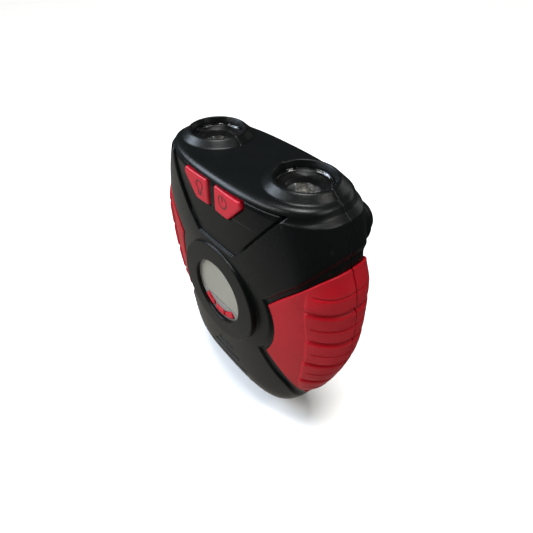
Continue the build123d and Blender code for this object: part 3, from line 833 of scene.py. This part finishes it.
def moulded(name, colour, rough, grain=900.0, bump=0.05, mottle=0.12, rough_swing=0.08, edge=0.0, **sockets):
    """Moulded plastic or rubber: fine grain, slow colour drift and worn edges."""
    mat = new_material(name, colour, rough, **sockets)
    links = mat.node_tree.links
    shader = mat.node_tree.nodes["Principled BSDF"]
    where = node(mat, "ShaderNodeTexCoord").outputs["Object"]
    fine = node(mat, "ShaderNodeTexNoise", Scale=grain, Detail=3.0, Roughness=0.6)
    slow = node(mat, "ShaderNodeTexNoise", Scale=DRIFT_SCALE, Detail=3.0, Roughness=0.55)
    links.new(where, fine.inputs["Vector"])
    links.new(where, slow.inputs["Vector"])
    tint = node(mat, "ShaderNodeValToRGB")
    dark = [c * (1 - mottle) for c in colour]
    light = [min(1, c * (1 + mottle)) for c in colour]
    tint.color_ramp.elements[0].color = (*dark, 1)
    tint.color_ramp.elements[1].color = (*light, 1)
    tint.color_ramp.elements[0].position = 0.3
    tint.color_ramp.elements[1].position = 0.7
    links.new(slow.outputs["Fac"], tint.inputs["Fac"])
    base = tint.outputs["Color"]
    if edge:
        convex = node(mat, "ShaderNodeNewGeometry").outputs["Pointiness"]
        worn = node(mat, "ShaderNodeMapRange")
        worn.inputs["From Min"].default_value = WORN_EDGE[0]
        worn.inputs["From Max"].default_value = WORN_EDGE[1]
        worn.inputs["To Max"].default_value = edge
        links.new(convex, worn.inputs["Value"])
        mix = node(mat, "ShaderNodeMix", data_type="RGBA")
        links.new(worn.outputs["Result"], mix.inputs["Factor"])
        links.new(base, mix.inputs[6])
        mix.inputs[7].default_value = (*[min(1, c * 2.0 + 0.01) for c in colour], 1)
        base = mix.outputs[2]
    links.new(base, shader.inputs["Base Color"])
    swing = node(mat, "ShaderNodeMapRange")
    swing.inputs["To Min"].default_value = rough - rough_swing
    swing.inputs["To Max"].default_value = rough + rough_swing
    links.new(slow.outputs["Fac"], swing.inputs["Value"])
    links.new(swing.outputs["Result"], shader.inputs["Roughness"])
    relief = node(mat, "ShaderNodeBump", Strength=bump, Distance=GRAIN_HEIGHT)
    links.new(fine.outputs["Fac"], relief.inputs["Height"])
    links.new(relief.outputs["Normal"], shader.inputs["Normal"])
    return mat


BLACK = moulded("black_plastic", (0.0030, 0.0037, 0.0036), 0.29, grain=2600, bump=0.14, edge=0.3,
                **{"Specular IOR Level": 0.18})
BLACK_GLOSS = moulded("black_gloss", (0.004, 0.004, 0.004), 0.36, grain=2600, bump=0.06,
                      **{"Specular IOR Level": 0.15})
RED = moulded("red_rubber", (0.27, 0.001, 0.006), 0.44, grain=2200, bump=0.14, edge=0.1,
              **{"Specular IOR Level": 0.16})
RED_BUTTON = moulded("red_button", (0.33, 0.004, 0.014), 0.40, grain=2200, bump=0.08,
                     **{"Specular IOR Level": 0.25})
# Darker red for the floors of the engraved button signs: painted shade standing for the shadow inside the
# grooves.
ENGRAVING_SHADE = moulded("engraving_painted_shade", (0.10, 0.006, 0.010), 0.45, grain=1800, bump=0.05)
GREY = moulded("grey_bezel", (0.16, 0.155, 0.14), 0.45, grain=2400, bump=0.06)
SEAL = moulded("seal_rubber", (0.015, 0.015, 0.015), 0.7, grain=900, bump=0.05)
BOWL = moulded("bowl_plating", (0.85, 0.85, 0.86), 0.24, grain=500, bump=0.01, rough_swing=0.05,
               Metallic=1.0)
STEEL = moulded("steel", (0.55, 0.55, 0.56), 0.32, grain=700, bump=0.03, Metallic=1.0)
BOARD = moulded("circuit_board", (0.01, 0.10, 0.04), 0.35, grain=500, bump=0.08)
CHIP = moulded("chip_resin", (0.02, 0.02, 0.02), 0.55, grain=1500, bump=0.06)
LAMINATE = moulded("antenna_laminate", (0.62, 0.58, 0.45), 0.5, grain=900, bump=0.05)
MILKY = moulded("diffuser", (0.75, 0.75, 0.72), 0.5, grain=700, bump=0.03)
PHOSPHOR = moulded("led_resin", (0.10, 0.095, 0.075), 0.12, grain=500, bump=0.02, rough_swing=0.04)
LEAD = moulded("lead_sheath", (0.35, 0.01, 0.01), 0.45, grain=700, bump=0.03)
CELL = moulded("cell_jacket", (0.05, 0.09, 0.16), 0.3, grain=500, bump=0.02)
LCD = moulded("lcd_glass", (0.185, 0.18, 0.15), 0.22, grain=300, bump=0.004, mottle=0.03, rough_swing=0.02)
LENS = new_material("clear_lens", (0.97, 0.98, 0.98), 0.0, IOR=1.49, **{"Transmission Weight": 1.0})

NODE_LOOKS = {
    "lamp_lens": LENS, "lens_gasket": SEAL, "reflector": BOWL, "led_board": BOARD, "led_left": PHOSPHOR,
    "led_right": PHOSPHOR, "lamp_leads": LEAD, "button_board": BOARD, "button_switches": STEEL,
    "key_switches": STEEL, "display_frame": GREY, "lcd_panel": LCD, "lcd_backlight": MILKY,
    "lcd_connector": SEAL, "main_board": BOARD, "board_chips": CHIP, "board_screws": STEEL,
    "radar_antenna": LAMINATE, "radar_can": STEEL, "speaker": STEEL, "trigger_spring": STEEL,
    "trigger_switch": STEEL, "trigger_board": BOARD, "battery_tray": BLACK, "battery_cell": CELL,
    "battery_contacts": STEEL, "battery_springs": STEEL, "door_screw": STEEL, "shell_screws": STEEL,
    "trigger_button": BLACK_GLOSS,
}


def dress_nodes():
    """Give every CAD node its material; the inner ones stay in view."""
    for name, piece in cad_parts.items():
        look = next((mat for key, mat in NODE_LOOKS.items() if name.startswith(key)), BLACK)
        piece.data.materials.clear()
        piece.data.materials.append(look)


# -------------------------------- assembly ----------------------------------

def stand_for(piece, body, slot, *nodes):
    """Put a piece on its body, in place of the CAD nodes named; the slot is not used."""
    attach(piece, body)
    if nodes:
        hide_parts(*nodes)


def make_pieces():
    """Build every visual piece and put it in place of its CAD node."""
    stand_for(front_shell_piece(BLACK), "housing", "black_shell", "front_shell")
    stand_for(rear_shell_piece(BLACK), "housing", "black_shell", "rear_shell")
    for side, is_front in (("front", True), ("rear", False)):
        right = grip_piece(f"grip_{side}_right_pad", is_front, RED)
        left = mirror_piece(right, f"grip_{side}_left_pad")
        stand_for(right, "housing", "red_rubber", f"grip_{side}_right")
        stand_for(left, "housing", "red_rubber", f"grip_{side}_left")
    power = main_button_piece("power_button_cap", RED_BUTTON, power_mark)
    # The engraved sign's floor is painted darker red: painted shade in the grooves.
    paint_engraving_shade(power, power_mark, ENGRAVING_SHADE)
    light_master = main_button_piece("light_button_master", RED_BUTTON, bulb_mark)
    paint_engraving_shade(light_master, bulb_mark, ENGRAVING_SHADE)
    light = mirror_piece(light_master, "light_button_cap")
    bpy.data.objects.remove(light_master)
    stand_for(power, "power_button", "red_button", "power_button")
    stand_for(light, "light_button", "red_button", "light_button")
    for hand, x in (("right", LAMP_X), ("left", -LAMP_X)):
        stand_for(lens_piece(hand, x), "housing", "clear_lens", f"lamp_lens_{hand}")
        stand_for(baffle_piece(hand, x), "housing", "seal_rubber", f"lens_gasket_{hand}")
        stand_for(bowl_piece(hand, x), "housing", "bright_plating", f"reflector_{hand}")
        stand_for(led_piece(hand, x), "housing", "led_resin", f"led_{hand}")
    stand_for(trigger_piece(), "trigger", "black_shell", "trigger_button")
    coil = spring_piece()
    stand_for(coil, "housing", "spring_steel", "trigger_spring")
    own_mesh(coil)
    for index, name in ((-1, "mode_key"), (0, "units_key"), (1, "hold_key")):
        stand_for(key_piece(f"{name}_cap", index, RED_BUTTON), name, "red_button", name)
    stand_for(door_piece(BLACK), "battery_cover", "black_shell", "battery_door")


# ---------------------------- camera and lights -----------------------------

CAMERA_AT = Vector((0.09106, -0.07663, 0.11266))
CAMERA_AIM = Vector((-0.00737, -0.00131, 0.00587))
CAMERA_ROLL = math.radians(-0.88)
CAMERA_LENS = 27.88
CAMERA_SHIFT = (0.0475, -0.0135)

FLOOR_HALF = 6.0
WORLD_STRENGTH = 0.03
SUN_FROM, SUN_ENERGY, SUN_SPREAD = (0.02, -0.02, 1.0), 3.8, math.radians(24)
GLOW_LOW, GLOW_HIGH, GLOW_POWER = (-0.30, -0.25), (0.05, 0.10), 0.14
# Name, direction from the object, distance, size, power and colour
LIGHTS = [
    ("window_light", (-0.62, -0.52, 0.58), 0.6, (0.34, 0.26), 4.7, (0.76, 0.86, 1.0)),
    ("front_light", (-0.14, -0.74, 0.66), 0.6, (0.16, 0.20), 1.3, (1.0, 0.98, 0.95)),
    ("side_light", (0.64, 0.29, 0.71), 0.6, (0.20, 0.20), 1.0, (1.0, 0.98, 0.95)),
    ("back_light", (0.10, 0.93, 0.30), 0.6, (0.30, 0.20), 0.2, (1.0, 1.0, 1.0)),
]


def add_camera():
    """Camera at the photograph's viewing angle."""
    data = bpy.data.cameras.new("camera")
    camera = bpy.data.objects.new("camera", data)
    bpy.context.scene.collection.objects.link(camera)
    data.lens = CAMERA_LENS
    data.sensor_width = 36.0
    data.shift_x, data.shift_y = CAMERA_SHIFT
    data.clip_start = 0.005
    turn = (CAMERA_AIM - CAMERA_AT).to_track_quat("-Z", "Y").to_matrix().to_4x4()
    camera.matrix_world = Matrix.Translation(CAMERA_AT) @ turn @ Matrix.Rotation(CAMERA_ROLL, 4, "Z")
    bpy.context.scene.camera = camera


def add_light(name, at, size, power, colour=(1, 1, 1), aim=(0, 0, 0)):
    data = bpy.data.lights.new(name, "AREA")
    data.shape = "RECTANGLE"
    data.size, data.size_y = size
    data.energy = power
    data.color = colour
    lamp = bpy.data.objects.new(name, data)
    bpy.context.scene.collection.objects.link(lamp)
    lamp.location = at
    lamp.visible_camera = False
    lamp.rotation_euler = (Vector(aim) - Vector(at)).to_track_quat("-Z", "Y").to_euler()
    return lamp


def add_floor_glow():
    """Soft glow off the floor on the display side, which the glossy front mirrors."""
    middle = [(a + b) / 2 for a, b in zip(GLOW_LOW, GLOW_HIGH)]
    level = CAD_BOX[0][2] + 0.001
    size = [b - a for a, b in zip(GLOW_LOW, GLOW_HIGH)]
    add_light("floor_glow", (*middle, level), size, GLOW_POWER, (1.0, 0.96, 0.87), (*middle, level + 1))


def add_stage():
    """Pale floor, pale surroundings and soft lights."""
    mat = moulded("pale_floor", (0.86, 0.855, 0.84), 0.6, grain=200, bump=0.01, mottle=0.01)
    mesh = bpy.data.meshes.new("floor")
    half, level = FLOOR_HALF, CAD_BOX[0][2] - 0.0005
    corners = [(-half, -half, level), (half, -half, level), (half, half, level), (-half, half, level)]
    mesh.from_pydata(corners, [], [(0, 1, 2, 3)])
    mesh.materials.append(mat)
    floor = bpy.data.objects.new("floor", mesh)
    bpy.context.scene.collection.objects.link(floor)
    floor.visible_glossy = False
    bpy.context.scene.view_settings.view_transform = "Standard"
    world = bpy.data.worlds.new("world")
    bpy.context.scene.world = world
    world.use_nodes = True
    background = world.node_tree.nodes["Background"]
    background.inputs["Color"].default_value = (1.0, 1.0, 1.0, 1)
    background.inputs["Strength"].default_value = WORLD_STRENGTH
    sky = bpy.data.lights.new("overhead_light", "SUN")
    sky.energy, sky.angle = SUN_ENERGY, SUN_SPREAD
    overhead = bpy.data.objects.new("overhead_light", sky)
    overhead.rotation_euler = Vector(SUN_FROM).to_track_quat("Z", "Y").to_euler()
    bpy.context.scene.collection.objects.link(overhead)
    for name, direction, distance, size, power, colour in LIGHTS:
        add_light(name, Vector(direction).normalized() * distance, size, power, colour)
    add_floor_glow()


dress_nodes()
make_pieces()
add_camera()
add_stage()
